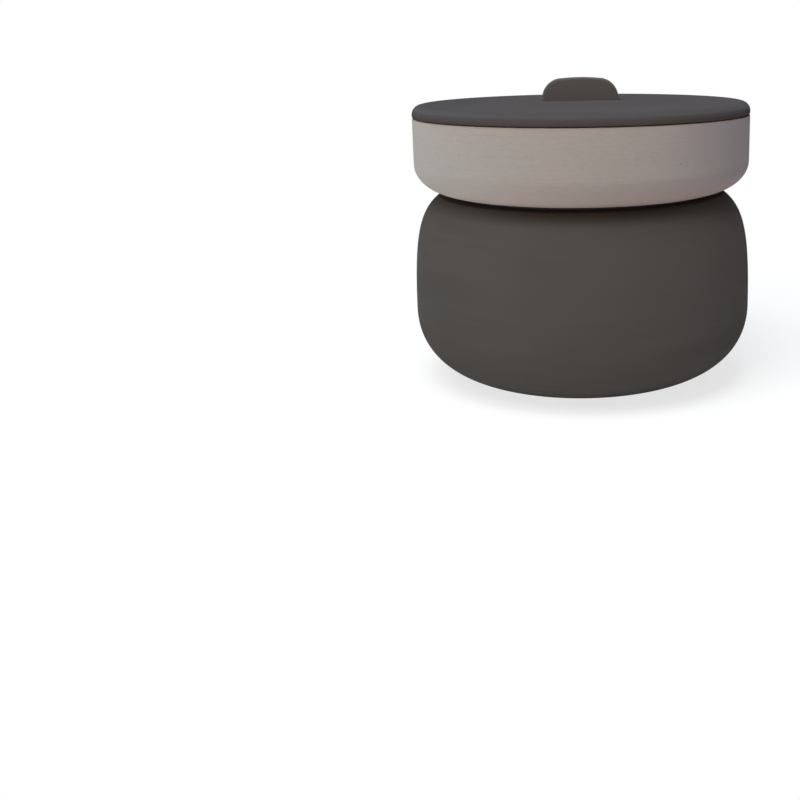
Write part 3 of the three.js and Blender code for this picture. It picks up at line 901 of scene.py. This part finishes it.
# Handle
def make_handle(finish):
    """A loaf-shaped tab: a rounded outline, drawn along Y, whose front and back edges are rounded."""
    height = handle_high.z - handle_low.z
    width = HANDLE_SHOULDER_WIDTH + HANDLE_EDGE
    inner = handle_half_length - HANDLE_FOOT_FLARE - width
    tall = height - HANDLE_CROWN - HANDLE_FOOT_HEIGHT
    crown = []
    for i in range(1, CURVE_STEPS):
        share = 1 - 2 * i / CURVE_STEPS
        crown.append(Corner(inner * share, height - HANDLE_CROWN * share**2))
    outline = [
        Corner(handle_half_length, 0),
        *ellipse(inner, HANDLE_FOOT_HEIGHT, width, tall, 0, 1 / 4),
        *crown,
        *ellipse(-inner, HANDLE_FOOT_HEIGHT, width, tall, 1 / 4, 1 / 2),
        Corner(-handle_half_length, 0),
    ]
    points = rounded(outline)
    half_depth = handle_high.y
    bm = bmesh.new()
    layers = []
    rising = [step / FILLET_STEPS for step in range(FILLET_STEPS + 1)]
    for side, shares in ((-1, rising), (1, rising[::-1])):
        for share in shares:
            angle = share * TURN / 4
            inset = HANDLE_EDGE * (1 - math.sin(angle))
            depth = half_depth - HANDLE_EDGE + HANDLE_EDGE * math.cos(angle)
            places = [inset_point(point, inset, height, side * depth) for point in points]
            layers.append([bm.verts.new(place) for place in places])
    bm.faces.new(layers[0])
    bm.faces.new(layers[-1][::-1])
    for near, far in zip(layers, layers[1:]):
        join_rings(bm, near, far)
    handle = new_object("stoneware_handle", bm)
    radius = SCREW_SHANK_RADIUS + SEAT_GAP + INSERT_WALL + INSERT_CLEARANCE
    depth = INSERT_LENGTH + INSERT_END_ROOM
    cut(handle, [pocket_cutter(radius, handle_low.z, depth, x, 0) for x in screw_places])
    dress(handle, "lid_handle", "lid", finish)


def inset_point(point, inset, height, depth):
    """A point of the handle's outline drawn in towards its middle, with the base kept flat."""
    along = 1 - inset / handle_half_length
    up = 1 - inset / height
    return point.x * along, depth, handle_low.z + point.y * up


# Small parts
def bumper_places():
    return around(BUMPER_COUNT, outer_radius - TRAY_WALL / 2, TURN / 8)


def dot(name, node, x, y, radius, edge):
    """A soft disc as tall as its node, with its lower edge rounded more than its upper one."""
    low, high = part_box(node)
    outline = [
        Corner(0, low.z),
        Corner(radius, low.z, edge),
        Corner(radius, high.z, edge / 2),
        Corner(0, high.z),
    ]
    return turned(name, outline, SMALL_SEGMENTS, (x, y))


def make_pads(finish):
    for i, (x, y, _) in enumerate(pad_places()):
        node = f"foot_pad_{i + 1}"
        piece = dot(f"foot_disc_{i + 1}", node, x, y, PAD_RADIUS, PAD_EDGE)
        dress(piece, node, "base", finish)


def make_bumpers(finish):
    for i, (x, y, _) in enumerate(bumper_places()):
        node = f"lid_bumper_{i + 1}"
        piece = dot(f"lid_dot_{i + 1}", node, x, y, BUMPER_RADIUS, BUMPER_EDGE)
        dress(piece, node, "lid", finish)


def make_screw(number, x, finish):
    head_top = lid_plate_bottom - 2 * SEAT_GAP - WASHER_THICKNESS
    head_bottom = head_top - SCREW_HEAD_HEIGHT
    tip = handle_low.z + SCREW_GRIP
    outline = [
        Corner(0, head_bottom),
        Corner(SCREW_HEAD_RADIUS, head_bottom, SCREW_HEAD_EDGE),
        Corner(SCREW_HEAD_RADIUS, head_top, SCREW_NECK_EDGE),
        Corner(SCREW_SHANK_RADIUS, head_top, SCREW_NECK_EDGE),
        Corner(SCREW_SHANK_RADIUS, tip - SCREW_SHANK_RADIUS / 2),
        Corner(SCREW_SHANK_RADIUS / 2, tip),
        Corner(0, tip),
    ]
    screw = turned(f"pan_screw_{number}", outline, SMALL_SEGMENTS, (x, 0))
    socket = SCREW_SOCKET_RADIUS, head_bottom, SCREW_SOCKET_DEPTH
    cut(screw, [pocket_cutter(*socket, x, 0, SCREW_SOCKET_SIDES)])
    dress(screw, f"handle_screw_{number}", "lid", finish)


def make_washer(number, x, finish):
    top = lid_plate_bottom - SEAT_GAP
    bottom = top - WASHER_THICKNESS
    inner = SCREW_SHANK_RADIUS + SCREW_CLEARANCE
    outline = [
        Corner(inner, bottom, WASHER_EDGE),
        Corner(WASHER_RADIUS, bottom, WASHER_LOWER_EDGE),
        Corner(WASHER_RADIUS, top, WASHER_EDGE),
        Corner(inner, top, WASHER_EDGE),
    ]
    washer = turned(f"soft_washer_{number}", outline, SMALL_SEGMENTS, (x, 0))
    dress(washer, f"handle_washer_{number}", "lid", finish)


def make_insert(number, x, finish):
    """A brass sleeve with bands of straight knurling between plain grooves."""
    inner = SCREW_SHANK_RADIUS + SEAT_GAP
    outer = inner + INSERT_WALL
    groove = outer - KNURL_DEPTH
    node = f"handle_insert_{number}"
    low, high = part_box(node)
    pitch = (high.z - low.z) / KNURL_BANDS
    outline = [Corner(inner, low.z, INSERT_EDGE), Corner(groove, low.z)]
    for band in range(KNURL_BANDS):
        bottom, top = low.z + band * pitch, low.z + (band + 1) * pitch
        outline += [Corner(groove, bottom + pitch / 8), Corner(outer, bottom + pitch / 5)]
        outline += [Corner(outer, top - pitch / 5), Corner(groove, top - pitch / 8)]
    outline += [Corner(groove, high.z), Corner(inner, high.z, INSERT_EDGE)]
    sleeve = turned(f"brass_insert_{number}", outline, SMALL_SEGMENTS, (x, 0))
    for vertex in sleeve.data.vertices:
        offset = Vector((vertex.co.x - x, vertex.co.y))
        tooth = round(math.atan2(offset.y, offset.x) / TURN * SMALL_SEGMENTS)
        if offset.length > outer - KNURL_DEPTH / 4 and tooth % 2:
            offset *= groove / outer
            vertex.co.x, vertex.co.y = x + offset.x, offset.y
    dress(sleeve, node, "lid", finish)


# Camera, floor and light
def make_camera():
    data = bpy.data.cameras.new("camera")
    data.sensor_width = SENSOR_WIDTH
    data.lens = FOCAL_LENGTH * SENSOR_WIDTH / PHOTO_SIDE
    data.shift_x = (PHOTO_SIDE / 2 - PHOTO_MIDDLE_X) / PHOTO_SIDE
    data.shift_y = (PHOTO_MIDDLE_Y - PHOTO_SIDE / 2) / PHOTO_SIDE
    camera = bpy.data.objects.new("camera", data)
    bpy.context.scene.collection.objects.link(camera)
    right = Vector((math.cos(CAMERA_YAW), math.sin(CAMERA_YAW), 0))
    level = Vector((-math.sin(CAMERA_YAW), math.cos(CAMERA_YAW), 0))
    forward = level * math.cos(CAMERA_PITCH) - Vector((0, 0, math.sin(CAMERA_PITCH)))
    up = right.cross(forward)
    rolled_right = right * math.cos(CAMERA_ROLL) - up * math.sin(CAMERA_ROLL)
    rolled_up = right * math.sin(CAMERA_ROLL) + up * math.cos(CAMERA_ROLL)
    turn = Matrix((rolled_right, rolled_up, -forward)).transposed()
    camera.matrix_world = Matrix.Translation(CAMERA_PLACE) @ turn.to_4x4()
    bpy.context.scene.camera = camera


def floor_material():
    """Pale paper to the light, and clear from below. The camera sees a white that shadows darken a
    little, and that fades into the white backdrop a little way off."""
    material = bpy.data.materials.new("floor")
    material.use_nodes = True
    graph = Graph(material.node_tree)
    graph.nodes.clear()
    paper = graph.node("BsdfDiffuse", inputs={"Color": (FLOOR_PAPER,) * 3})
    shade = graph.node("BsdfDiffuse", inputs={"Color": (FLOOR_SHADE,) * 3})
    glow = graph.node("Emission", inputs={"Strength": FLOOR_GLOW})
    near = graph.node("AddShader", inputs={0: shade, 1: glow})
    white = graph.node("Emission")
    distance = graph.length(graph.node("TexCoord", "Object"))
    seen = graph.blend(graph.step(distance, FLOOR_FADE_START, FLOOR_FADE_END), near, white)
    above = graph.blend(graph.node("LightPath", "Is Camera Ray"), paper, seen)
    both = graph.blend(graph.node("NewGeometry", "Backfacing"), above, graph.node("BsdfTransparent"))
    output = graph.nodes.new("ShaderNodeOutputMaterial")
    graph.feed(output.inputs["Surface"], both)
    return material


def make_floor():
    """A pale floor that keeps the object's shadow."""
    bm = bmesh.new()
    bmesh.ops.create_grid(bm, x_segments=1, y_segments=1, size=FLOOR_SIZE / 2)
    floor = new_object("floor", bm)
    floor.location.z = cad_low.z - FLOOR_GAP
    floor.data.materials.append(floor_material())


def make_world():
    """Soft even light, with a white backdrop where the camera or a reflection looks past the floor."""
    world = bpy.data.worlds.new("studio")
    world.use_nodes = True
    graph = Graph(world.node_tree)
    soft = graph.nodes["Background"]
    graph.feed(soft.inputs["Color"], WORLD_COLOR)
    graph.feed(soft.inputs["Strength"], WORLD_LEVEL)
    white = graph.node("Background", inputs={"Color": (1, 1, 1), "Strength": 1})
    path = graph.nodes.new("ShaderNodeLightPath").outputs
    seen = graph.math("MAXIMUM", path["Is Camera Ray"], path["Is Transmission Ray"])
    seen = graph.math("MAXIMUM", seen, path["Is Glossy Ray"])
    backdrop = graph.blend(seen, soft.outputs[0], white)
    graph.feed(graph.nodes["World Output"].inputs["Surface"], backdrop)
    bpy.context.scene.world = world


def new_light(name, shape, size, power):
    data = bpy.data.lights.new(name, "AREA")
    data.shape = shape
    data.size = size
    data.energy = power
    light = bpy.data.objects.new(name, data)
    bpy.context.scene.collection.objects.link(light)
    return light


def make_light(name, azimuth, elevation, distance, size, power, color):
    """A square soft light that faces the object. Azimuth 0 is in front and grows to the right."""
    light = new_light(name, "SQUARE", size, power)
    light.data.color = color
    across, up = math.radians(azimuth), math.radians(elevation)
    level = Vector((math.sin(across), -math.cos(across), 0))
    towards = level * math.cos(up) + Vector((0, 0, math.sin(up)))
    light.location = LIGHT_TARGET + towards * distance
    light.rotation_mode = "QUATERNION"
    light.rotation_quaternion = towards.to_track_quat("Z", "Y")


def make_underlight():
    """A faint light just above the floor, under the foot ring, so that the underside can be seen."""
    light = new_light("underlight", "DISK", UNDERLIGHT_SIZE, UNDERLIGHT_POWER)
    light.location.z = cad_low.z - FLOOR_GAP / 2
    light.rotation_euler.x = TURN / 2
    light.visible_camera = False


def make_studio():
    make_world()
    make_floor()
    make_underlight()
    for name, values in LIGHTS.items():
        make_light(name, *values)


make_camera()
make_studio()

vessel_clay = dark_stoneware(
    "dark_stoneware",
    (0.087, 0.0745, 0.0685),
    (0.084, 0.076, 0.0715),
    scuff_below=SCUFF_HEIGHT,
    # painted shade of the tray on the top of the shoulder
    tray_shadow_above=mouth_height - MOUTH_SHADOW_HEIGHT,
)
lid_clay = dark_stoneware(
    "lid_stoneware",
    (0.0792, 0.0708, 0.0722),
    (0.0775, 0.0718, 0.0742),
    # painted shade and highlight at the lid's edge
    edge_shading_below=lid_bottom + LID_SHADING_HEIGHT,
    specular=0,
)
inner_clay = dark_stoneware("inner_stoneware", (0.09, 0.08, 0.073), (0.08, 0.073, 0.068))
# a paler copy of the dark stoneware: painted light on the handle
lit_handle_clay = dark_stoneware("handle_stoneware", (0.124, 0.108, 0.103), (0.121, 0.108, 0.104))
pads = rubber("pad_rubber", (0.03, 0.03, 0.03), 0.75)
silicone = rubber("seal_silicone", (0.05, 0.048, 0.046), 0.6)
steel = turned_metal("screw_steel", (0.6, 0.6, 0.6), 0.28)
brass = turned_metal("insert_brass", (0.7, 0.52, 0.28), 0.3)

make_vessel(vessel_clay)
make_tray(pale_stoneware())
make_lid(lid_clay)
make_dome(inner_clay)
make_gasket(silicone)
make_handle(lit_handle_clay)
make_pads(pads)
make_bumpers(silicone)
for index, place in enumerate(screw_places):
    make_screw(index + 1, place, steel)
    make_washer(index + 1, place, silicone)
    make_insert(index + 1, place, brass)

bpy.context.scene.view_settings.view_transform = "Standard"
